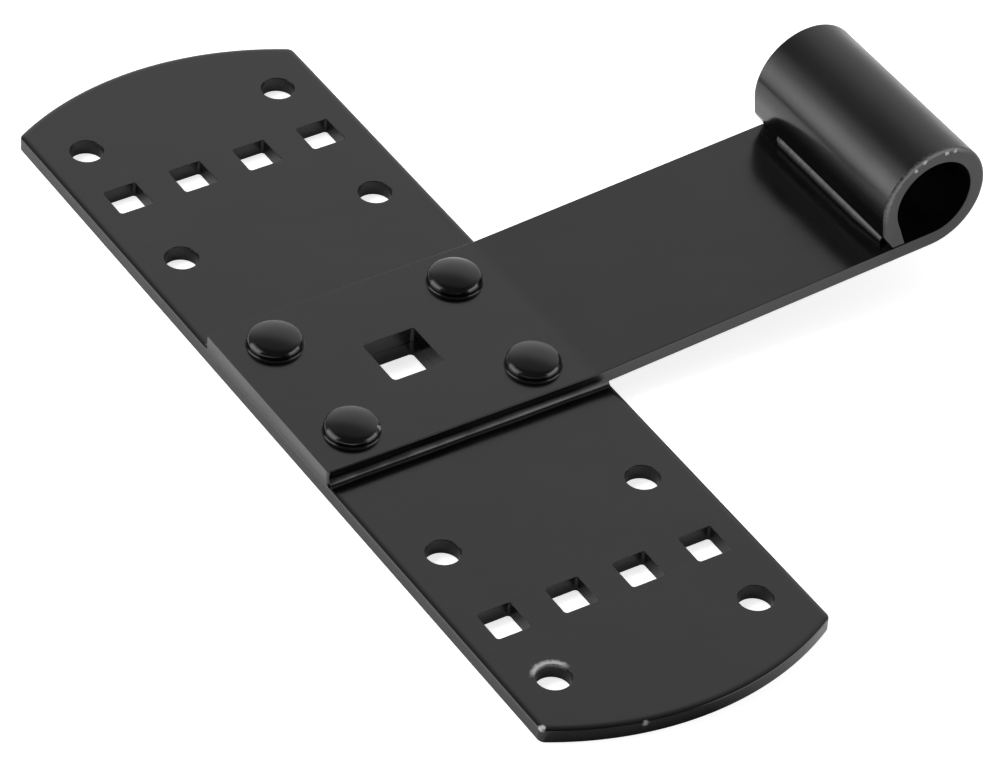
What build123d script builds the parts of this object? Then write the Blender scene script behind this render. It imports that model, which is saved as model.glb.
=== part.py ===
from build123d import *
import os
from math import cos, radians, sin, sqrt, tan

# A tee hinge leaf of black-coated steel: a cross plate that is screwed or bolted on, a strap riveted across
# it, and an eye rolled on the strap's end for a hinge pin and closed with a weld.
# X runs along the strap towards the eye, Y along the cross plate, and Z up from the plate's back.
# The origin is the centre of the large square hole, at the plate's back. Sizes are in millimetres and degrees.

# Cross plate
plate_length = 200.0
plate_width = 60.0
plate_thickness = 3.2
plate_end_radius = 60.0
plate_corner_radius = 1.5
plate_edge_break = 0.4

# Holes at each end of the plate: a rectangle of round screw holes, and a row of square bolt holes
screw_hole_diameter = 6.5
bolt_hole_side = 7.0
bolt_holes_per_row = 4
hole_side_margin = 9.0  # from a long edge to the centres of the outer holes
screw_end_margin = 18.0  # from the crown of the end to the outer pair of screw holes
screw_row_spacing = 36.0  # from the outer to the inner pair of screw holes
bolt_end_margin = 34.0  # from the crown of the end to the row of bolt holes

# Strap
strap_width = 43.0
strap_thickness = 3.2
strap_edge_break = 0.5
bend_from_end = 57.0  # from the strap's plain end to the line where it is set up
bend_angle = 3.9
bend_radius = 40.0

# Rolled eye on the strap's far end
pin_diameter = 16.0
pin_clearance = 0.5
eye_from_bend = 74.5
leaf_inner_lean = 17.0  # the leaf's last stretch comes down straight, leaning in towards the bore
leaf_outer_lean = 3.0
leaf_end_height = 3.8  # of the slanted end's outer edge above the strap
leaf_foot = 2.8  # what stands on the strap

# Weld that closes the eye, in the groove between the leaf's slanted end and the strap
weld_toe = 2.2  # from the leaf's foot to the weld's toe on the strap
weld_rise = 3.0  # height at which it runs into the slanted end
weld_radius = 2.5
weld_near_margin = 2.5  # groove left open at the strap's near side, towards -Y
weld_far_margin = 6.5

# Square hole through the strap and the plate, and the rivets around it
centre_from_end = 29.0  # from the strap's plain end
centre_hole_side = 11.0
centre_hole_corner_radius = 0.8
rivet_spacing_x = 38.5
rivet_spacing_y = 27.0
rivet_shank_diameter = 6.0
rivet_hole_clearance = 0.1
rivet_head_diameter = 10.5
rivet_flank_height = 1.5  # the upright flank of the head, under a low crown
rivet_crown_height = 1.3
rivet_rim_break = 0.5
rivet_tail_diameter = 9.0
rivet_tail_depth = 1.5

# Places that follow from these sizes
strap_end_x = -centre_from_end  # flush with a long edge of the plate
plate_x = strap_end_x + plate_width / 2
strap_top_z = plate_thickness + strap_thickness
bend_x = strap_end_x + bend_from_end
bore_radius = (pin_diameter + pin_clearance) / 2
eye_radius = bore_radius + strap_thickness
rivet_radius = rivet_shank_diameter / 2
rivet_places = GridLocations(rivet_spacing_x, rivet_spacing_y, 2, 2)


def plate_outline():
    """The plate's plan: straight long sides, and ends crowned to an arc."""
    side_x = plate_width / 2
    crown_y = plate_length / 2
    corner_y = crown_y - plate_end_radius + sqrt(plate_end_radius**2 - side_x**2)
    with BuildSketch() as plan:
        with BuildLine():
            right = Line((side_x, -corner_y), (side_x, corner_y))
            left = Line((-side_x, corner_y), (-side_x, -corner_y))
            ThreePointArc(right @ 1, (0, crown_y), left @ 0)
            ThreePointArc(left @ 1, (0, -crown_y), right @ 0)
        make_face()
        fillet(plan.vertices(), plate_corner_radius)
    return Pos(plate_x, 0) * plan.sketch


def end_holes():
    """The plan of all screw and bolt holes at both ends of the plate."""
    across = plate_width - 2 * hole_side_margin
    screw_y = plate_length / 2 - screw_end_margin - screw_row_spacing / 2
    bolt_y = plate_length / 2 - bolt_end_margin
    bolt_pitch = across / (bolt_holes_per_row - 1)
    with BuildSketch() as holes:
        with Locations((0, screw_y), (0, -screw_y)):
            with GridLocations(across, screw_row_spacing, 2, 2):
                Circle(screw_hole_diameter / 2)
        with Locations((0, bolt_y), (0, -bolt_y)):
            with GridLocations(bolt_pitch, 0, bolt_holes_per_row, 1):
                Rectangle(bolt_hole_side, bolt_hole_side)
    return Pos(plate_x, 0) * holes.sketch


def middle_holes():
    """The plan of the holes that the strap and the plate share."""
    with BuildSketch() as holes:
        RectangleRounded(centre_hole_side, centre_hole_side, centre_hole_corner_radius)
        with rivet_places:
            Circle(rivet_radius + rivet_hole_clearance)
    return holes.sketch


def rivet_tail():
    """The cone at the plate's back that a rivet's tail is set into."""
    with BuildPart() as cone:
        Cone(
            rivet_tail_diameter / 2,
            rivet_radius,
            rivet_tail_depth,
            align=(Align.CENTER, Align.CENTER, Align.MIN),
        )
    return cone.part


def make_cross_plate():
    with BuildPart() as plate:
        extrude(plate_outline(), amount=plate_thickness)
        rims = plate.edges().group_by(Axis.Z)
        chamfer(rims[0] + rims[-1], plate_edge_break)
        extrude(end_holes() + middle_holes(), amount=plate_thickness, mode=Mode.SUBTRACT)
        with rivet_places:
            add(rivet_tail(), mode=Mode.SUBTRACT)
    return plate.part


def on_strap(along, height):
    """A point of the strap's side view, along its set-up stretch and above its underside."""
    tilt = radians(bend_angle)
    x = bend_x + along * cos(tilt) - height * sin(tilt)
    z = plate_thickness + along * sin(tilt) + height * cos(tilt)
    return (x, z)


def on_leaf(radius, lean, height):
    """A point of the leaf's straight last stretch, at a height above the strap's top. The stretch leaves a
    circle round the bore on a tangent, at this lean."""
    slope = radians(lean)
    tangent_height = bore_radius - radius * sin(slope)
    along = eye_from_bend - radius * cos(slope) + (tangent_height - height) * tan(slope)
    return on_strap(along, strap_thickness + height)


def leaf_edge():
    """The outer edge of the leaf's slanted end, in side view."""
    return on_leaf(eye_radius, leaf_outer_lean, leaf_end_height)


def foot_point(back):
    """A point on the strap's top, in side view, this far back from the inner edge of the leaf's foot."""
    x, z = on_leaf(bore_radius, leaf_inner_lean, 0)
    tilt = radians(bend_angle)
    return (x - back * cos(tilt), z - back * sin(tilt))


def strap_profile():
    """The strap's side view, from its plain end to the leaf that is rolled round the bore."""
    half_bend = tan(radians(bend_angle / 2))
    bend_centre = (bend_x - (bend_radius + strap_thickness) * half_bend, strap_top_z + bend_radius)
    eye_centre = on_strap(eye_from_bend, eye_radius)
    downwards = bend_angle - 90
    with BuildSketch(Plane.XZ) as profile:
        with BuildLine():
            under_bend = CenterArc(bend_centre, bend_radius + strap_thickness, -90, bend_angle)
            over_bend = CenterArc(bend_centre, bend_radius, -90, bend_angle)
            roll = CenterArc(eye_centre, eye_radius, downwards, 270 + leaf_outer_lean)
            plain_end = Line((strap_end_x, strap_top_z), (strap_end_x, plate_thickness))
            Line(plain_end @ 1, under_bend @ 0)
            Line(under_bend @ 1, roll @ 0)
            leaf = Line(roll @ 1, leaf_edge())
            slant = Line(leaf @ 1, foot_point(leaf_foot))
            Line(slant @ 1, over_bend @ 1)
            Line(over_bend @ 0, plain_end @ 0)
        make_face()
        with BuildLine():
            bore = CenterArc(eye_centre, bore_radius, downwards, 270 + leaf_inner_lean)
            inside = Line(bore @ 1, foot_point(0))
            Line(inside @ 1, bore @ 0)
        make_face(mode=Mode.SUBTRACT)
    return profile.sketch


def weld_profile():
    """The weld's side view. It stands on the strap and reaches into the leaf, to be one with both."""
    with BuildSketch(Plane.XZ) as profile:
        with BuildLine():
            slant = Line(foot_point(leaf_foot), leaf_edge(), mode=Mode.PRIVATE)
            bead = RadiusArc(foot_point(leaf_foot + weld_toe), slant @ (weld_rise / leaf_end_height), weld_radius)
            into_leaf = Line(bead @ 1, foot_point(leaf_foot / 2))
            Line(into_leaf @ 1, bead @ 0)
        make_face()
    return profile.sketch


def make_strap():
    with BuildPart() as strap:
        extrude(strap_profile(), amount=strap_width / 2, both=True)
        edge_x, edge_z = leaf_edge()
        leaf_end = strap.edges().filter_by(Axis.Y).sort_by_distance((edge_x, 0, edge_z))[:1]
        plain_end = strap.faces().sort_by(Axis.X)[:1]
        sides = strap.faces().filter_by(Axis.Y)
        chamfer(sides.edges() + plain_end.edges() + leaf_end, strap_edge_break)
        extrude(middle_holes(), amount=strap_top_z, mode=Mode.SUBTRACT)
        near_reach = strap_width / 2 - weld_near_margin
        far_reach = strap_width / 2 - weld_far_margin
        weld = extrude(weld_profile(), amount=near_reach + far_reach, mode=Mode.PRIVATE)
        add(Pos(0, far_reach, 0) * weld)
    return strap.part


def make_rivet():
    """One rivet: a pan head on the strap, a shank, and a tail set flush into the plate's back."""
    head_radius = rivet_head_diameter / 2
    rim_z = strap_top_z + rivet_flank_height
    crown_radius = (head_radius**2 + rivet_crown_height**2) / (2 * rivet_crown_height)
    with BuildPart() as rivet:
        add(rivet_tail())
        Cylinder(rivet_radius, strap_top_z, align=(Align.CENTER, Align.CENTER, Align.MIN))
        with BuildSketch(Plane.XZ) as head:
            with BuildLine():
                base = Line((0, strap_top_z), (head_radius, strap_top_z))
                flank = Line(base @ 1, (head_radius, rim_z))
                crown = RadiusArc(flank @ 1, (0, rim_z + rivet_crown_height), -crown_radius)
                Line(crown @ 1, base @ 0)
            make_face()
            chamfer(head.vertices().sort_by_distance(flank @ 1)[:1], rivet_rim_break)
        revolve(axis=Axis.Z)
    return rivet.part


os.makedirs("parts", exist_ok=True)
export_step(make_cross_plate(), "parts/cross_plate.step")
export_step(make_strap(), "parts/strap.step")
rivets = [place * make_rivet() for place in rivet_places]
export_step(Compound(children=rivets, label="rivets"), "parts/rivets.step")
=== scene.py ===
from math import cos, pi, radians, sin, sqrt, tan

import bmesh
import bpy
from mathutils import Matrix, Vector


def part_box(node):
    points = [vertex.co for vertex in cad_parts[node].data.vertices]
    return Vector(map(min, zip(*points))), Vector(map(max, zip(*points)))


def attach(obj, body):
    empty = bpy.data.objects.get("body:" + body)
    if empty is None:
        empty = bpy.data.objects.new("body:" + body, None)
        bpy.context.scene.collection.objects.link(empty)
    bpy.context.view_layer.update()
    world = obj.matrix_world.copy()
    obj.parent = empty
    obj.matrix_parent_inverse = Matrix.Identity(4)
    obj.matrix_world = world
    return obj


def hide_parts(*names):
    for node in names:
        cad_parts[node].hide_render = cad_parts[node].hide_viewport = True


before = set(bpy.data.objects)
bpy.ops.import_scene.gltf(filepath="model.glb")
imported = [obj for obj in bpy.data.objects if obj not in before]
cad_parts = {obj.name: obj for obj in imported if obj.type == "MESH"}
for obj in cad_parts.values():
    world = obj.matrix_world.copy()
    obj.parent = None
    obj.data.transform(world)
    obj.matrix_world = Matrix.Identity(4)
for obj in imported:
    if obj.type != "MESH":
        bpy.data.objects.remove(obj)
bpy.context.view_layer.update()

MM = 0.001
UP = Vector((0, 0, 1))

# Tolerances
same_height = 0.001 * MM
same_place = 0.01 * MM
at_edge = 0.1 * MM
merge_distance = 0.0005 * MM
hole_reach = 1.2  # of a hole's radius, within which an edge is its rim
sharp_rim = radians(60)  # a rim's faces meet at more than this
smooth_angle = radians(40)  # faces that meet at less are shaded smooth

# Cross plate
plate_low, plate_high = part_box("cross_plate")
plate_x = (plate_low.x + plate_high.x) / 2
plate_half_width = (plate_high.x - plate_low.x) / 2
plate_half_length = plate_high.y
plate_thickness = plate_high.z
plate_end_radius = 60 * MM
plate_corner_radius = 1.5 * MM
plate_edge_roll = 1.3 * MM  # the top edge rolls over from here
plate_edge_drop = 0.45 * MM  # and drops by this
plate_edge_segments = 8
plate_back_edge_radius = 0.4 * MM
plate_back_edge_segments = 6
end_arc_steps = 48
corner_segments = 6

# Holes in the plate
screw_hole_radius = 3.25 * MM
screw_half_spacing_x = 21 * MM
screw_rows = (46 * MM, 82 * MM)
bolt_hole_side = 7 * MM
bolt_hole_corner = 0.6 * MM
bolt_row = 66 * MM
bolt_pitch = 14 * MM
bolt_holes_per_row = 4
hole_rim_radius = 0.12 * MM
hole_rim_segments = 4
hole_steps = 64

# Strap
strap_low, strap_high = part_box("strap")
strap_half_width = strap_high.y
strap_thickness = plate_thickness
strap_end_x = strap_low.x
strap_top = plate_thickness + strap_thickness
strap_top_edge_radius = 0.18 * MM
strap_top_edge_segments = 3
strap_under_edge_radius = 0.6 * MM
strap_under_edge_segments = 5
bend_x = 28 * MM
bend_angle = radians(3.9)
bend_radius = 40 * MM
bend_steps = 6

# Rolled eye
bore_radius = 8.25 * MM
eye_radius = bore_radius + strap_thickness
eye_from_bend = 74.5 * MM
leaf_inner_lean = radians(17)
leaf_outer_lean = radians(3)
leaf_end_height = 3.8 * MM
leaf_foot = 2.8 * MM
roll_steps = 72
leaf_steps = 6

# Weld that closes the eye
weld_toe = 2.2 * MM
weld_rise = 3.0 * MM
weld_radius = 2.5 * MM
weld_near_margin = 2.5 * MM
weld_far_margin = 6.5 * MM
weld_steps = 136
weld_section_steps = 10
weld_scale = 0.8  # of its section, under the thick coating
weld_thin = 0.6  # of that, at its very ends
weld_near_taper = 32  # steps over which it thins out
weld_far_taper = 6
weld_waves = ((0.002, 0.66, 0), (0.006, 0.23, 1), (0.002, 1.1, 0))  # depth, angle per step, start

# Large square hole and the rivets around it
centre_hole_side = 11 * MM
centre_hole_corner = 0.8 * MM
rivet_half_spacing = (19.25 * MM, 13.5 * MM)
rivet_shank_radius = 3 * MM
rivet_hole_radius = 3.1 * MM
rivet_head_radius = 5.25 * MM
rivet_flank_height = 1.5 * MM
rivet_crown_height = 1.3 * MM
rivet_crown_steps = 12
rivet_rim_radius = 1.5 * MM
rivet_rim_steps = 8
rivet_tail_depth = 1.5 * MM
rivet_tail_groove = 0.12 * MM  # around the flush tail
rivet_foot_radius = 0.3 * MM
rivet_foot_steps = 5
rivet_steps = 72

# Coating that has run into the joint along the strap
bead_reach = 1.1 * MM  # on the plate
bead_rise = 2.0 * MM  # on the strap's side
bead_sink = 0.2 * MM
bead_steps = 60
bead_section_steps = 8
bead_scale = 0.9  # of that section
bead_waves = ((0.02, 0.83, 0), (0.05, 0.31, 2), (0.01, 1.9, 0))  # depth, angle per step, start

# Coating that bridges the joint at the strap's plain end
end_bead_reach = 1.1 * plate_edge_roll
end_bead_depth = 1.2 * plate_edge_drop
end_bead_rise = 0.05 * MM
end_bead_inset = 0.1 * MM
end_bead_steps = 4

# Camera, in millimetres and in the photograph's pixels
photo_width_px = 1000
focal_length_px = 5695.67
sensor_width = 36
camera_place = Vector((-443.338, -654.276, 672.567)) * MM
camera_right = Vector((0.84362, -0.53311, 0.06399))
camera_forward = Vector((0.44160, 0.62110, -0.64748))

# Black coating, with noise scales per metre
coat_ior = 1.5
coat_blue = 1.05  # blue against red and green
bloom_blue = 1.04
bloom_gain = 2.5  # how much lighter the cloudy areas are
bloom_scale = 45
bloom_detail = 2
bloom_range = (0.35, 0.65)
patch_scale = 90  # of the areas that are duller
patch_detail = 3
patch_range = (0.3, 0.7)
wave_depth = 0.16 * MM
peel_strength = 0.3
peel_detail = 2

# How much rougher the coating is on the eye, where rolling has stretched the steel
rolled_dullness = 0.16
rolled_from_x = 91 * MM
rolled_to_x = 93 * MM

# Bare steel where the coating is off, also used for painted highlights, and how its borders fray
bare_steel_and_glint = (0.42, 0.42, 0.43, 1)
fray_scale = 1800
fray_detail = 3
fray_reach = (1.0 * MM, 0.8 * MM, 0.8 * MM)

# Nicks where the coating is off, and one bare spot that is a painted highlight: a place in millimetres and a
# radius
nicks_and_glint = (
    ((-28.5, -91.5, 2.9), 0.75),
    ((-12.1, -99.1, 2.6), 0.95),
    ((96.2, -21.4, 28.3), 0.5),
    ((98.1, -21.4, 29.7), 0.6),
    ((103.0, -21.4, 30.0), 0.6),
    ((104.9, -21.4, 29.8), 0.45),
    # Painted highlight: the right softbox's glint on the front right of the near left rivet's rim, drawn as a
    # bare-steel nick
    ((-15.3, -16.9, 8.0), 0.7),
)
spot_core = 0.6  # of the radius, within which it is wholly bare

# Rims where the coating is rubbed, one of them partly a painted highlight: a centre, a radius and a width in
# millimetres, the middle of the marked stretch, and how strong the mark is
worn_and_highlit_rims = (
    # Painted highlight, partly real wear: a bright crescent on the far stretch of this screw hole's rim,
    # where it catches the light, drawn as rubbed-through bare steel
    ((-20, -82, 3.2), 3.45, 0.85, Vector((0.12, 0.99, 0)), 0.8),
    ((101.7, -21.4, 19.7), 11.0, 0.6, Vector((-0.5, 0, 0.87)), 0.3),
)
rim_mark_core = 0.35  # of the width, within which the mark is strongest
rim_mark_edge = 1.1  # of the width, where the mark ends
rim_mark_stretch = (0.3, 0.7)  # cosines from the middle, between which the mark sets in

# Floor, and the stretches of it beside the plate that lie in its shade
floor_reach = 3
floor_drop = 0.1 * MM  # below the plate's back
shade_lift = 0.04 * MM  # of the shaded stretches above the rest
front_shade = 25 * MM
left_shade = 2.7 * MM
arc_shade = 12 * MM  # under the near end's arc
lamplight = 0.3  # what the lamps give white paper, so that its own light fills up to white

# A bright wall behind on the right, by how squarely a direction faces it: a cosine and a level
wall_azimuth = 45
wall_elevation = 10
wall_levels = ((0.0, 0.12), (0.5, 0.33), (0.87, 0.94))


def rivet_places():
    return [(sx * rivet_half_spacing[0], sy * rivet_half_spacing[1]) for sx in (-1, 1) for sy in (-1, 1)]


def wave_sum(waves, step):
    return sum(depth * sin(step * turn + start) for depth, turn, start in waves)


# Mesh helpers

def spot(x, y, z=0.0):
    return Matrix.Translation((x, y, z))


def verts_of(geom):
    return [g for g in geom if isinstance(g, bmesh.types.BMVert)]


def faces_of(geom):
    return [g for g in geom if isinstance(g, bmesh.types.BMFace)]


def faces_at(verts):
    return list(dict.fromkeys(f for v in verts for f in v.link_faces))


def open_faces(bm, faces):
    bmesh.ops.delete(bm, geom=faces, context="FACES_ONLY")


def rectangle(bm, x0, x1, y0, y1, z=0.0):
    place = spot((x0 + x1) / 2, (y0 + y1) / 2, z) @ Matrix.Diagonal((x1 - x0, y1 - y0, 1, 1))
    return bmesh.ops.create_grid(bm, x_segments=1, y_segments=1, size=0.5, matrix=place)["verts"]


def round_hole(bm, x, y, radius):
    bmesh.ops.create_circle(bm, cap_ends=False, radius=radius, segments=hole_steps, matrix=spot(x, y))


def square_hole(bm, x, y, side, corner):
    turned = spot(x, y) @ Matrix.Rotation(pi / 4, 4, "Z")
    made = bmesh.ops.create_circle(bm, cap_ends=True, radius=side / sqrt(2), segments=4, matrix=turned)
    round_corners(bm, made["verts"], corner)


def round_corners(bm, verts, radius, turn=pi / 2):
    """Rounds corners of a flat outline and leaves it as a loop of edges."""
    rounded = bmesh.ops.bevel(
        bm,
        geom=verts,
        affect="VERTICES",
        offset_type="OFFSET",
        offset=radius * tan(turn / 2),
        segments=corner_segments,
        profile=0.5,
        material=-1,
    )
    open_faces(bm, faces_at(rounded["verts"]))


def round_edges(bm, edges, radius, segments):
    bmesh.ops.bevel(
        bm,
        geom=edges,
        affect="EDGES",
        offset_type="OFFSET",
        offset=radius,
        segments=segments,
        profile=0.5,
        material=-1,
        loop_slide=False,
        clamp_overlap=False,
    )


def raise_plan(bm, low, high):
    """Fills a plan of loops and raises it to a plate between two heights."""
    bmesh.ops.triangle_fill(bm, use_beauty=True, use_dissolve=False, edges=bm.edges[:])
    bmesh.ops.translate(bm, verts=bm.verts[:], vec=UP * low)
    raised = bmesh.ops.extrude_face_region(bm, geom=bm.faces[:])
    bmesh.ops.translate(bm, verts=verts_of(raised["geom"]), vec=UP * (high - low))
    bmesh.ops.recalc_face_normals(bm, faces=bm.faces[:])


def rim_edges(bm, height, near):
    """The sharp edges of a plate's face at a height for which near is true."""
    found = []
    for e in bm.edges:
        middle = (e.verts[0].co + e.verts[1].co) / 2
        level = abs(e.verts[0].co.z - e.verts[1].co.z) < same_height
        if not level or abs(middle.z - height) >= same_height or len(e.link_faces) != 2:
            continue
        if e.calc_face_angle() > sharp_rim and near(middle):
            found.append(e)
    return found


def grow(bm, faces):
    """Extrudes the open end of a bar, and takes out the faces that it leaves inside."""
    grown = bmesh.ops.extrude_face_region(bm, geom=faces)
    open_faces(bm, [f for f in faces if f.is_valid])
    return verts_of(grown["geom"]), faces_of(grown["geom"])


def turn_end(bm, faces, centre, angle, steps):
    """Turns the open end of a bar upwards round a centre, and gives its new end."""
    edges = list(dict.fromkeys(e for f in faces for e in f.edges))
    verts = list(dict.fromkeys(v for f in faces for v in f.verts))
    turned = bmesh.ops.spin(
        bm,
        geom=faces + edges + verts,
        cent=centre,
        axis=(0, 1, 0),
        angle=-angle,
        steps=steps,
        use_duplicate=False,
    )
    return faces_of(turned["geom_last"])


def bar(section, pivot, run, sizes):
    """A bar grown from a flat section along a run, its size about the pivot following a list."""
    bm = bmesh.new()
    even = Vector((1, 1, 1))
    steps = len(sizes) - 1
    corners = [bm.verts.new(p) for p in section]
    sides = [bm.edges.new(pair) for pair in zip(corners, corners[1:] + corners[:1])]
    bmesh.ops.contextual_create(bm, geom=sides)
    bmesh.ops.scale(bm, vec=even * sizes[0], space=Matrix.Translation(-pivot), verts=corners)
    end = faces_of(bmesh.ops.duplicate(bm, geom=bm.faces[:])["geom"])
    for step in range(1, len(sizes)):
        moved, end = grow(bm, end)
        bmesh.ops.translate(bm, verts=moved, vec=run / steps)
        at = pivot + run * step / steps
        swell = sizes[step] / sizes[step - 1]
        bmesh.ops.scale(bm, vec=even * swell, space=Matrix.Translation(-at), verts=moved)
    bmesh.ops.remove_doubles(bm, verts=bm.verts[:], dist=merge_distance)
    return bm


def add_piece(name, bm, finish, replaced=None, cut_finish=None, is_cut=None):
    bmesh.ops.recalc_face_normals(bm, faces=bm.faces[:])
    if cut_finish:
        for f in bm.faces:
            f.material_index = int(is_cut(f))
    mesh = bpy.data.meshes.new(name)
    bm.to_mesh(mesh)
    bm.free()
    mesh.shade_smooth()
    mesh.set_sharp_from_angle(angle=smooth_angle)
    mesh.materials.append(finish)
    if cut_finish:
        mesh.materials.append(cut_finish)
    piece = bpy.data.objects.new(name, mesh)
    bpy.context.scene.collection.objects.link(piece)
    flat_faces = piece.modifiers.new("flat_faces", "WEIGHTED_NORMAL")
    flat_faces.keep_sharp = True
    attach(piece, "root")
    if replaced:
        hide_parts(replaced)


# Cross plate

def plate_outline(bm):
    arc_centre = plate_half_length - plate_end_radius
    corner_y = arc_centre + sqrt(plate_end_radius**2 - plate_half_width**2)
    turn = 2 * Vector((plate_half_width, corner_y - arc_centre)).angle(Vector((0, 1)))
    ends = []
    for side in (1, -1):
        first = bm.verts.new((plate_x + side * plate_half_width, side * corner_y, 0))
        arc = bmesh.ops.spin(
            bm,
            geom=[first],
            cent=(plate_x, side * arc_centre, 0),
            axis=UP,
            angle=turn,
            steps=end_arc_steps,
            use_duplicate=False,
        )
        ends += [first, arc["geom_last"][0]]
    bm.edges.new((ends[1], ends[2]))
    bm.edges.new((ends[3], ends[0]))
    bmesh.ops.contextual_create(bm, geom=bm.edges[:])
    round_corners(bm, ends, plate_corner_radius, pi / 2 - turn / 2)


def screw_places():
    return [
        (plate_x + across * screw_half_spacing_x, side * row)
        for side in (-1, 1)
        for row in screw_rows
        for across in (-1, 1)
    ]


def bolt_places():
    middle = (bolt_holes_per_row - 1) / 2
    return [
        (plate_x + (number - middle) * bolt_pitch, side * bolt_row)
        for side in (-1, 1)
        for number in range(bolt_holes_per_row)
    ]


def middle_holes(bm):
    """The plan of the holes that the strap and the plate share."""
    square_hole(bm, 0, 0, centre_hole_side, centre_hole_corner)
    for x, y in rivet_places():
        round_hole(bm, x, y, rivet_hole_radius)


def at_any(p, places, radius):
    return any((p.xy - Vector(place)).length < radius * hole_reach for place in places)


def at_rivet(p):
    return at_any(p, rivet_places(), rivet_hole_radius)


def on_plate_outline(p):
    inside = min(plate_half_width - abs(p.x - plate_x), plate_half_length - abs(p.y))
    past_bolts = abs(p.y) > bolt_row + bolt_hole_side
    return inside < at_edge or (past_bolts and not at_any(p, screw_places(), screw_hole_radius))


def at_hole(p):
    return not on_plate_outline(p) and not at_rivet(p)


def cross_plate(finish, cut_finish):
    bm = bmesh.new()
    plate_outline(bm)
    for x, y in screw_places():
        round_hole(bm, x, y, screw_hole_radius)
    for x, y in bolt_places():
        square_hole(bm, x, y, bolt_hole_side, bolt_hole_corner)
    middle_holes(bm)
    raise_plan(bm, 0, plate_thickness)

    # The top edge is rounded, and the rounding then squashed to its drop
    top_rim = rim_edges(bm, plate_thickness, on_plate_outline)
    round_edges(bm, top_rim, plate_edge_roll, plate_edge_segments)
    roll_low = plate_thickness - 1.01 * plate_edge_roll
    rolled = [v for v in bm.verts if roll_low < v.co.z < plate_thickness - same_height]
    flatter = (1, 1, plate_edge_drop / plate_edge_roll)
    bmesh.ops.scale(bm, vec=flatter, space=spot(0, 0, -plate_thickness), verts=rolled)

    back_rim = rim_edges(bm, 0, on_plate_outline)
    round_edges(bm, back_rim, plate_back_edge_radius, plate_back_edge_segments)
    for height in (0, plate_thickness):
        round_edges(bm, rim_edges(bm, height, at_hole), hole_rim_radius, hole_rim_segments)
    round_edges(bm, rim_edges(bm, 0, at_rivet), rivet_tail_depth, 1)

    def is_cut(f):
        return abs(f.normal.z) < 0.1

    add_piece("cross_plate_steel", bm, finish, "cross_plate", cut_finish, is_cut)


# Strap with its rolled eye

def on_strap(along, height):
    """A point of the strap's side view, along its set-up stretch and above its underside."""
    x = bend_x + along * cos(bend_angle) - height * sin(bend_angle)
    z = plate_thickness + along * sin(bend_angle) + height * cos(bend_angle)
    return Vector((x, 0, z))


def on_leaf(radius, lean, height):
    """A point of the leaf's straight last stretch, at a height above the strap's top. The stretch leaves a
    circle round the bore on a tangent, at this lean."""
    tangent_height = bore_radius - radius * sin(lean)
    along = eye_from_bend - radius * cos(lean) + (tangent_height - height) * tan(lean)
    return on_strap(along, strap_thickness + height)


def leaf_start(radius, lean):
    """The point where that stretch leaves its circle."""
    return on_leaf(radius, lean, bore_radius - radius * sin(lean))


def leaf_edge():
    """The outer edge of the leaf's slanted end."""
    return on_leaf(eye_radius, leaf_outer_lean, leaf_end_height)


def along_strap():
    return Vector((cos(bend_angle), 0, sin(bend_angle)))


def foot_point(back):
    """A point on the strap's top, this far back from the inner edge of the leaf's foot."""
    return on_leaf(bore_radius, leaf_inner_lean, 0) - along_strap() * back


def eye_centre():
    return on_strap(eye_from_bend, eye_radius)


def on_inner_side(p):
    """True on the bore's side of the rolled bar's middle."""
    return (p - eye_centre()).xz.length < (bore_radius + eye_radius) / 2


def put(v, place):
    """Moves a point to a place in side view."""
    v.co = (place.x, v.co.y, place.z)


def grow_leaf(bm, end):
    """Grows the leaf from the end of the roll to its slanted end and its foot on the strap. Its inner side
    goes on round the bore for two thirds of the way, and then straight down."""
    outer_from = leaf_start(eye_radius, leaf_outer_lean)
    half_way_down = leaf_start(bore_radius, leaf_inner_lean).lerp(foot_point(0), 0.5)
    for step in range(1, leaf_steps + 1):
        share = step / leaf_steps
        lean = leaf_outer_lean + (leaf_inner_lean - leaf_outer_lean) * min(1, share * 1.5)
        inner = leaf_start(bore_radius, lean).lerp(half_way_down, max(0, share * 3 - 2))
        outer = outer_from.lerp(leaf_edge(), share)
        moved, end = grow(bm, end)
        for v in moved:
            put(v, inner if on_inner_side(v.co) else outer)
    moved, end = grow(bm, end)
    for v in moved:
        put(v, foot_point(0 if on_inner_side(v.co) else leaf_foot))
    bmesh.ops.recalc_face_normals(bm, faces=bm.faces[:])


def is_upper(f):
    """True for the strap's top and the inside of its eye, which are one face of the bar."""
    place = f.calc_center_median()
    if place.x < leaf_edge().x - 1 * MM:
        return f.normal.z > 0.5
    return on_inner_side(place) and f.normal.dot(eye_centre() - place) > 0


def is_side(f):
    return abs(f.normal.y) > 0.9


def side_edge(e, top):
    """True for an edge between a side of the bar and its upper face, or its under face."""
    a, b = e.link_faces
    if abs(e.verts[0].co.y) < strap_half_width - same_place or is_side(a) == is_side(b):
        return False
    return is_upper(b if is_side(a) else a) == top


def across_edge(e, x, z):
    return all(abs(v.co.x - x) < same_place and abs(v.co.z - z) < same_place for v in e.verts)


def at_centre_hole(p):
    return max(abs(p.x), abs(p.y)) < centre_hole_side / 2 * hole_reach


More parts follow.
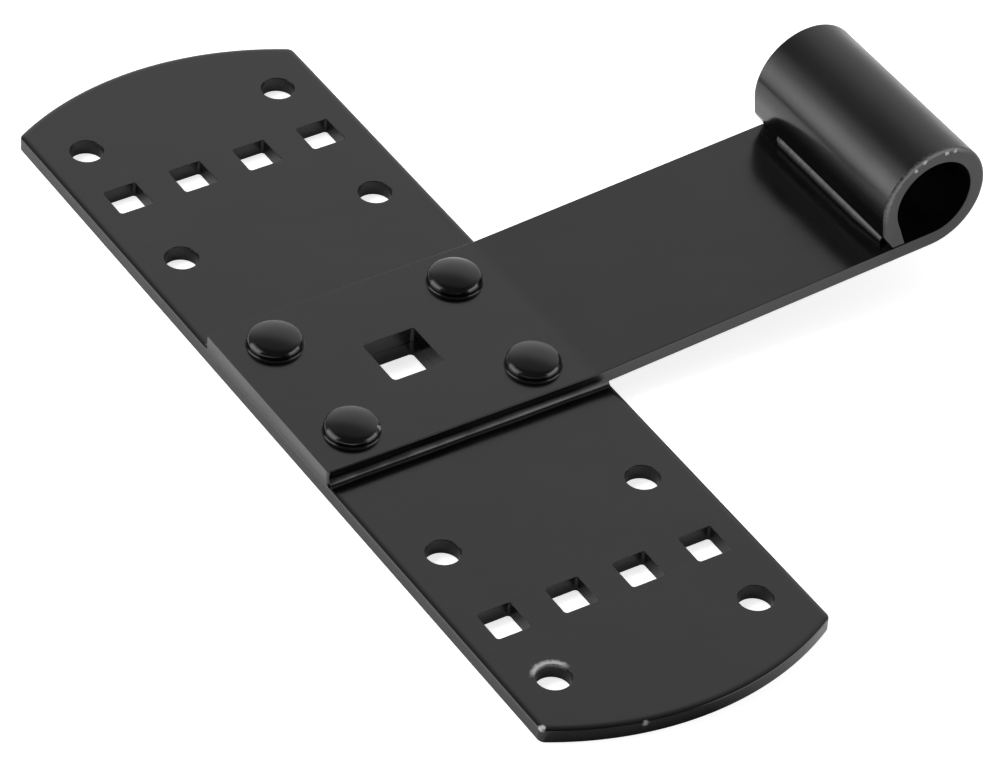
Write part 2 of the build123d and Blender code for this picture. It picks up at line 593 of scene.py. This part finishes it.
def strap(finish, cut_finish):
    bm = bmesh.new()
    bend_start = bend_x - (bend_radius + strap_thickness) * tan(bend_angle / 2)
    flat = rectangle(bm, strap_end_x, bend_start, -strap_half_width, strap_half_width)
    open_faces(bm, faces_at(flat))
    middle_holes(bm)
    raise_plan(bm, plate_thickness, strap_top)

    bend_centre = Vector((bend_start, 0, strap_top + bend_radius))
    end = [f for f in bm.faces if f.normal.x > 0.999 and f.calc_center_median().x > bend_start - at_edge]
    end = turn_end(bm, end, bend_centre, bend_angle, bend_steps)
    moved, end = grow(bm, end)
    reach = (on_strap(eye_from_bend, 0) - bend_centre).dot(along_strap())
    bmesh.ops.translate(bm, verts=moved, vec=along_strap() * reach)
    end = turn_end(bm, end, eye_centre(), 3 * pi / 2 + leaf_outer_lean, roll_steps)
    grow_leaf(bm, end)

    top_edges = [e for e in bm.edges if side_edge(e, True) or across_edge(e, strap_end_x, strap_top)]
    round_edges(bm, top_edges, strap_top_edge_radius, strap_top_edge_segments)
    edge = leaf_edge()
    under_edges = [e for e in bm.edges if side_edge(e, False) or across_edge(e, edge.x, edge.z)]
    round_edges(bm, under_edges, strap_under_edge_radius, strap_under_edge_segments)
    for height in (plate_thickness, strap_top):
        round_edges(bm, rim_edges(bm, height, at_centre_hole), hole_rim_radius, hole_rim_segments)

    def is_cut(f):
        return abs(f.normal.y) > 0.99 or f.calc_center_median().x < strap_end_x + same_place

    add_piece("strap_steel", bm, finish, "strap", cut_finish, is_cut)


def eye_weld(finish):
    """The weld in the groove under the leaf's end, rippled along its length."""
    toe = foot_point(leaf_foot + weld_toe)
    slant_top = foot_point(leaf_foot).lerp(leaf_edge(), weld_rise / leaf_end_height)
    chord = slant_top - toe
    outwards = Vector((-chord.z, 0, chord.x)).normalized()
    hub = toe + chord / 2 - outwards * sqrt(weld_radius**2 - (chord.length / 2) ** 2)
    swing = (toe - hub).angle(slant_top - hub)
    shares = [step / weld_section_steps for step in range(weld_section_steps + 1)]
    section = [hub + Matrix.Rotation(swing * share, 3, "Y") @ (toe - hub) for share in shares]
    section.append(foot_point(leaf_foot / 2))
    near =-strap_half_width + weld_near_margin
    far = strap_half_width - weld_far_margin
    start = Vector((0, near, 0))
    sizes = []
    for step in range(weld_steps + 1):
        near_share = min(1, step / weld_near_taper)
        far_share = min(1, (weld_steps - step) / weld_far_taper)
        near_size = weld_thin + (1 - weld_thin) * near_share
        far_size = weld_thin + (1 - weld_thin) * sqrt(1 - (1 - far_share) ** 2)
        sizes.append((weld_scale + wave_sum(weld_waves, step)) * near_size * far_size)
    run = Vector((0, far - near, 0))
    bm = bar([p + start for p in section], foot_point(leaf_foot) + start, run, sizes)
    add_piece("eye_weld", bm, finish)


# Coating in the joint

def joint_bead(name, side, finish):
    """Coating that has run into the corner between one side of the strap and the plate."""
    corner = Vector((plate_low.x + 2 * bead_sink, side * strap_half_width, plate_thickness))
    out = Vector((0, side, 0))
    section = [corner - out * bead_sink - UP * bead_sink, corner + out * bead_reach - UP * bead_sink]
    for step in range(bead_section_steps + 1):
        swing = pi / 2 * step / bead_section_steps
        section.append(corner + out * bead_reach * (1 - sin(swing)) + UP * bead_rise * (1 - cos(swing)))
    section.append(corner - out * bead_sink + UP * bead_rise)
    run = Vector((2 * (plate_half_width - 2 * bead_sink), 0, 0))
    sizes = [bead_scale + wave_sum(bead_waves, step) for step in range(bead_steps + 1)]
    add_piece(name, bar(section, corner, run, sizes), finish)


def end_bead(finish):
    """Coating that bridges the joint at the strap's plain end, where strap and plate are flush."""
    near_x = strap_end_x + end_bead_inset
    far_x = near_x + end_bead_reach
    low = plate_thickness - end_bead_depth
    high = plate_thickness + end_bead_rise
    y = -strap_half_width - bead_sink
    section = [Vector((x, y, z)) for x, z in ((near_x, low), (near_x, high), (far_x, high), (far_x, low))]
    bm = bar(section, section[0], Vector((0, -2 * y, 0)), [1.0] * (end_bead_steps + 1))
    add_piece("joint_bead_end", bm, finish)


# Rivets

def arc_points(hub_r, hub_z, radius, start, stop, steps):
    """Points round a hub in a rivet's side view, by angles from straight up towards the outside."""
    angles = [start + (stop - start) * step / steps for step in range(steps + 1)]
    return [(hub_r + radius * sin(a), hub_z + radius * cos(a)) for a in angles]


def rivet(number, place, finish):
    """One rivet, turned from its side view: tail, shank, and a pan head that runs out into the coating."""
    rim_z = strap_top + rivet_flank_height
    crown_radius = (rivet_head_radius**2 + rivet_crown_height**2) / (2 * rivet_crown_height)
    crown_z = rim_z + rivet_crown_height - crown_radius
    rim_r = rivet_head_radius - rivet_rim_radius
    rim_hub_z = crown_z + sqrt((crown_radius - rivet_rim_radius) ** 2 - rim_r**2)
    rim_swing = Vector((0, 1)).angle(Vector((rim_r, rim_hub_z - crown_z)))
    tail_radius = rivet_shank_radius + rivet_tail_depth
    foot_r = rivet_head_radius + rivet_foot_radius
    foot_z = strap_top + rivet_foot_radius
    side_view = [
        (0, 0),
        (tail_radius - 3 * rivet_tail_groove, 0),
        (tail_radius - rivet_tail_groove, rivet_tail_groove),
        (rivet_shank_radius, rivet_tail_depth),
        (rivet_shank_radius, strap_top),
    ]
    side_view += arc_points(foot_r, foot_z, rivet_foot_radius, pi, 3 * pi / 2, rivet_foot_steps)
    side_view += arc_points(rim_r, rim_hub_z, rivet_rim_radius, pi / 2, rim_swing, rivet_rim_steps)
    side_view += arc_points(0, crown_z, crown_radius, rim_swing, 0, rivet_crown_steps)[1:]
    bm = bmesh.new()
    chain = [bm.verts.new((place[0] + r, place[1], z)) for r, z in side_view]
    edges = [bm.edges.new(pair) for pair in zip(chain, chain[1:])]
    bmesh.ops.spin(
        bm,
        geom=chain + edges,
        cent=(*place, 0),
        axis=UP,
        angle=2 * pi,
        steps=rivet_steps,
        use_merge=True,
        use_duplicate=False,
    )
    bmesh.ops.remove_doubles(bm, verts=bm.verts[:], dist=merge_distance)
    add_piece(f"rivet_{number}", bm, finish, "rivets")


# Shader helpers

def grey(level, blue=1.0):
    return (level, level, level * blue, 1)


def noise(tree, place, scale, detail):
    cloud = tree.nodes.new("ShaderNodeTexNoise")
    cloud.inputs["Scale"].default_value = scale
    cloud.inputs["Detail"].default_value = detail
    tree.links.new(place.outputs["Object"], cloud.inputs["Vector"])
    return cloud


def relief(tree, height, strength, depth, under=None):
    bump = tree.nodes.new("ShaderNodeBump")
    bump.inputs["Strength"].default_value = strength
    bump.inputs["Distance"].default_value = depth
    tree.links.new(height.outputs["Fac"], bump.inputs["Height"])
    if under:
        tree.links.new(under.outputs["Normal"], bump.inputs["Normal"])
    return bump


def spread(tree, value, low, high, to_low, to_high):
    """A value's range mapped to another range, and held at its ends."""
    ranged = tree.nodes.new("ShaderNodeMapRange")
    ranged.inputs["From Min"].default_value = low
    ranged.inputs["From Max"].default_value = high
    ranged.inputs["To Min"].default_value = to_low
    ranged.inputs["To Max"].default_value = to_high
    tree.links.new(value, ranged.inputs["Value"])
    return ranged.outputs["Result"]


def vector_node(tree, operation, first, second=None):
    """A vector operation on one output, or on an output and a second one or a fixed vector."""
    node = tree.nodes.new("ShaderNodeVectorMath")
    node.operation = operation
    tree.links.new(first, node.inputs[0])
    if isinstance(second, bpy.types.NodeSocket):
        tree.links.new(second, node.inputs[1])
    elif second is not None:
        node.inputs[1].default_value = second
    return node


def number_node(tree, operation, first, second):
    node = tree.nodes.new("ShaderNodeMath")
    node.operation = operation
    tree.links.new(first, node.inputs[0])
    tree.links.new(second, node.inputs[1])
    return node.outputs["Value"]


def along_x(tree, place):
    parts = tree.nodes.new("ShaderNodeSeparateXYZ")
    tree.links.new(place.outputs["Object"], parts.inputs["Vector"])
    return parts.outputs["X"]


def blend(tree, share, first, second):
    """A colour between two, each fixed or an output."""
    mix = tree.nodes.new("ShaderNodeMix")
    mix.data_type = "RGBA"
    tree.links.new(share, mix.inputs["Factor"])
    for colour, socket in ((first, mix.inputs[6]), (second, mix.inputs[7])):
        if isinstance(colour, bpy.types.NodeSocket):
            tree.links.new(colour, socket)
        else:
            socket.default_value = colour
    return mix.outputs[2]


# Finishes

def ragged_place(tree, place):
    """Object coordinates with a small uneven shift, which frays what is measured from them."""
    cloud = noise(tree, place, fray_scale, fray_detail)
    centred = vector_node(tree, "SUBTRACT", cloud.outputs["Color"], (0.5, 0.5, 0.5))
    shift = vector_node(tree, "MULTIPLY", centred.outputs["Vector"], fray_reach)
    return vector_node(tree, "ADD", place.outputs["Object"], shift.outputs["Vector"]).outputs["Vector"]


def round_spot(tree, point, centre, radius):
    """One in a small spot, nought away from it."""
    away = vector_node(tree, "DISTANCE", point, Vector(centre) * MM)
    return spread(tree, away.outputs["Value"], radius * spot_core * MM, radius * MM, 1, 0)


def rim_mark(tree, point, centre, radius, width, middle, share):
    """The share of bare steel, for wear or for a painted highlight, near a circle's rim, on the stretch of it
    around its middle.
    The circle lies level, or upright along the strap where its middle has a height."""
    plane = Vector((1, 1, 0)) if middle.z == 0 else Vector((1, 0, 1))
    offset = vector_node(tree, "SUBTRACT", point, Vector(centre) * MM).outputs["Vector"]
    in_plane = vector_node(tree, "MULTIPLY", offset, plane).outputs["Vector"]
    outwards = vector_node(tree, "NORMALIZE", in_plane).outputs["Vector"]
    on_rim = vector_node(tree, "MULTIPLY", outwards, (radius * MM,) * 3).outputs["Vector"]
    away = vector_node(tree, "DISTANCE", offset, on_rim).outputs["Value"]
    facing = vector_node(tree, "DOT_PRODUCT", outwards, middle).outputs["Value"]
    near = spread(tree, away, width * rim_mark_core * MM, width * rim_mark_edge * MM, share, 0)
    return number_node(tree, "MULTIPLY", near, spread(tree, facing, *rim_mark_stretch, 0, 1))


def wear_and_glint_mask(tree, place):
    """One where the coating is off or where bare steel is painted as a highlight, nought elsewhere."""
    point = ragged_place(tree, place)
    spots = [round_spot(tree, point, *one) for one in nicks_and_glint] + [rim_mark(tree, point, *one) for one in worn_and_highlit_rims]
    mask = spots[0]
    for one in spots[1:]:
        mask = number_node(tree, "MAXIMUM", mask, one)
    return mask


def coat(name, black, dull, shine, peel_scale, peel_depth):
    """Black coating over steel: half glossy, faintly uneven, off at the nicks, and painted as bare steel for
    two highlights.
    """
    finish = bpy.data.materials.new(name)
    finish.use_nodes = True
    tree = finish.node_tree
    shader = tree.nodes["Principled BSDF"]
    shader.inputs["IOR"].default_value = coat_ior
    place = tree.nodes.new("ShaderNodeTexCoord")
    mask = wear_and_glint_mask(tree, place)
    sheet = noise(tree, place, bloom_scale, bloom_detail)
    bloom = spread(tree, sheet.outputs["Fac"], *bloom_range, 0, 1)
    cloudy = blend(tree, bloom, grey(black, coat_blue), grey(black * bloom_gain, bloom_blue))
    tree.links.new(blend(tree, mask, cloudy, bare_steel_and_glint), shader.inputs["Base Color"])
    patches = noise(tree, place, patch_scale, patch_detail)
    patchy = spread(tree, patches.outputs["Fac"], *patch_range, shine, dull)
    stretched = spread(tree, along_x(tree, place), rolled_from_x, rolled_to_x, 0, rolled_dullness)
    tree.links.new(number_node(tree, "ADD", patchy, stretched), shader.inputs["Roughness"])
    waves = relief(tree, sheet, 1, wave_depth)
    peel = relief(tree, noise(tree, place, peel_scale, peel_detail), peel_strength, peel_depth, waves)
    tree.links.new(peel.outputs["Normal"], shader.inputs["Normal"])
    return finish


def paper(name, white, left, right, from_x):
    """Paper that the camera sees as white. Glossy surfaces see a level that runs from left to right, a
    painted light and shade across the paper.
    """
    sheet = bpy.data.materials.new(name)
    sheet.use_nodes = True
    tree = sheet.node_tree
    shader = tree.nodes["Principled BSDF"]
    shader.inputs["Base Color"].default_value = grey(white)
    shader.inputs["Roughness"].default_value = 1
    shader.inputs["Specular IOR Level"].default_value = 0
    shader.inputs["Emission Color"].default_value = grey(1)
    rays = tree.nodes.new("ShaderNodeLightPath")
    seen = number_node(tree, "MAXIMUM", rays.outputs["Is Camera Ray"], rays.outputs["Is Transmission Ray"])
    straight = spread(tree, seen, 0, 1, 0, 1 - lamplight * white)
    place = tree.nodes.new("ShaderNodeTexCoord")
    level = spread(tree, along_x(tree, place), from_x, plate_high.x, left, right)
    in_gloss = number_node(tree, "MULTIPLY", rays.outputs["Is Glossy Ray"], level)
    tree.links.new(number_node(tree, "MAXIMUM", straight, in_gloss), shader.inputs["Emission Strength"])
    return sheet


# Stage

def direction(azimuth, elevation):
    """A direction from the object, by degrees from +Y towards +X and above the floor."""
    a, e = radians(azimuth), radians(elevation)
    return Vector((sin(a) * cos(e), cos(a) * cos(e), sin(e)))


def floor():
    """White paper, with stretches beside, in front of and under the plate that carry painted shade, so that
    gloss sees them darker.
    """
    bm = bmesh.new()
    rectangle(bm, -floor_reach, floor_reach, -floor_reach, floor_reach)
    arc_y = plate_low.y + arc_shade
    beside = (plate_low.x - left_shade, plate_low.x, plate_low.y, plate_high.y)
    in_front = (plate_low.x, plate_high.x, plate_low.y - front_shade, arc_y)
    under = (plate_low.x, plate_high.x, arc_y, plate_high.y)
    for number, area in enumerate((beside, in_front, under), 1):
        for f in faces_at(rectangle(bm, *area, shade_lift)):
            f.material_index = number
    bmesh.ops.translate(bm, verts=bm.verts[:], vec=UP * -floor_drop)
    mesh = bpy.data.meshes.new("floor")
    bm.to_mesh(mesh)
    bm.free()
    for sheet in (
        # Painted light: gloss sees this paper brighter on the left, where the left softbox would light it
        # more
        paper("white_paper", white=0.8, left=0.88, right=0.68, from_x=plate_low.x),
        paper("white_paper_in_shade", white=0.8, left=0.05, right=0.05, from_x=plate_low.x),
        # Painted shade in front of the near end's arc: a darker paper, darkest on the left half and lighter
        # towards the right
        paper("white_paper_in_deep_shade", white=0.35, left=0, right=1, from_x=plate_x),
        # Painted shade on the floor under the plate, which gloss sees through its holes
        paper("white_paper_in_shade_under_the_plate", white=0.8, left=0.12, right=0.12, from_x=plate_x),
    ):
        mesh.materials.append(sheet)
    ground = bpy.data.objects.new("floor", mesh)
    bpy.context.scene.collection.objects.link(ground)


def studio():
    """A bright wall behind on the right, dark above and in front."""
    world = bpy.data.worlds.new("studio")
    bpy.context.scene.world = world
    world.use_nodes = True
    tree = world.node_tree
    place = tree.nodes.new("ShaderNodeTexCoord")
    wall = direction(wall_azimuth, wall_elevation)
    facing = vector_node(tree, "DOT_PRODUCT", place.outputs["Generated"], wall)
    ramp = tree.nodes.new("ShaderNodeValToRGB")
    ramp.color_ramp.interpolation = "EASE"
    stops = ramp.color_ramp.elements
    for number, (at, level) in enumerate(wall_levels):
        stop = stops[number] if number < 2 else stops.new(at)  # a new ramp has two stops
        stop.position = at
        stop.color = grey(level)
    tree.links.new(facing.outputs["Value"], ramp.inputs["Fac"])
    tree.links.new(ramp.outputs["Color"], tree.nodes["Background"].inputs["Color"])


def softbox(name, azimuth, elevation, distance, width, height, radiance, mirrored=True):
    """A lamp that faces the object. One that isn't mirrored lights it without showing in its gloss."""
    lamp = bpy.data.lights.new(name, "AREA")
    lamp.shape = "RECTANGLE"
    lamp.size = width
    lamp.size_y = height
    lamp.energy = radiance * width * height * 4
    box = bpy.data.objects.new(name, lamp)
    towards = direction(azimuth, elevation)
    box.location = towards * distance
    box.rotation_mode = "QUATERNION"
    box.rotation_quaternion = towards.to_track_quat("Z", "Y")
    box.visible_camera = False
    box.visible_glossy = mirrored
    bpy.context.scene.collection.objects.link(box)


def camera():
    lens = bpy.data.cameras.new("camera")
    lens.sensor_fit = "HORIZONTAL"
    lens.sensor_width = sensor_width
    lens.lens = focal_length_px * sensor_width / photo_width_px
    lens.clip_start = 0.01
    lens.clip_end = 100
    seen = bpy.data.objects.new("camera", lens)
    back = -camera_forward.normalized()
    up = back.cross(camera_right).normalized()
    axes = Matrix((up.cross(back), up, back)).transposed()
    seen.matrix_world = Matrix.Translation(camera_place) @ axes.to_4x4()
    bpy.context.scene.collection.objects.link(seen)
    bpy.context.scene.camera = seen


black_coat = coat(
    "black_coat", black=0.0007, dull=0.22, shine=0.15, peel_scale=700, peel_depth=0.006 * MM
)
cut_edge_coat = coat(
    "black_coat_on_cut_edges", black=0.0025, dull=0.34, shine=0.24, peel_scale=1700, peel_depth=0.09 * MM
)
cross_plate(black_coat, cut_edge_coat)
strap(black_coat, cut_edge_coat)
eye_weld(black_coat)
joint_bead("joint_bead_near", -1, black_coat)
joint_bead("joint_bead_far", 1, black_coat)
end_bead(cut_edge_coat)
for number, place in enumerate(rivet_places(), 1):
    rivet(number, place, black_coat)
floor()
studio()
softbox("left_softbox", azimuth=-68, elevation=14, distance=0.9, width=0.8, height=0.5, radiance=1.4)
softbox("left_softbox_spill", azimuth=-65, elevation=25, distance=0.9, width=0.86, height=0.73, radiance=1.25)
softbox("right_softbox", azimuth=132, elevation=13, distance=0.9, width=0.8, height=0.42, radiance=2.3)
softbox(
    "back_light", azimuth=-35, elevation=50, distance=1.2, width=0.8, height=0.8, radiance=4.5, mirrored=False
)
camera()
bpy.context.scene.view_settings.view_transform = "Standard"
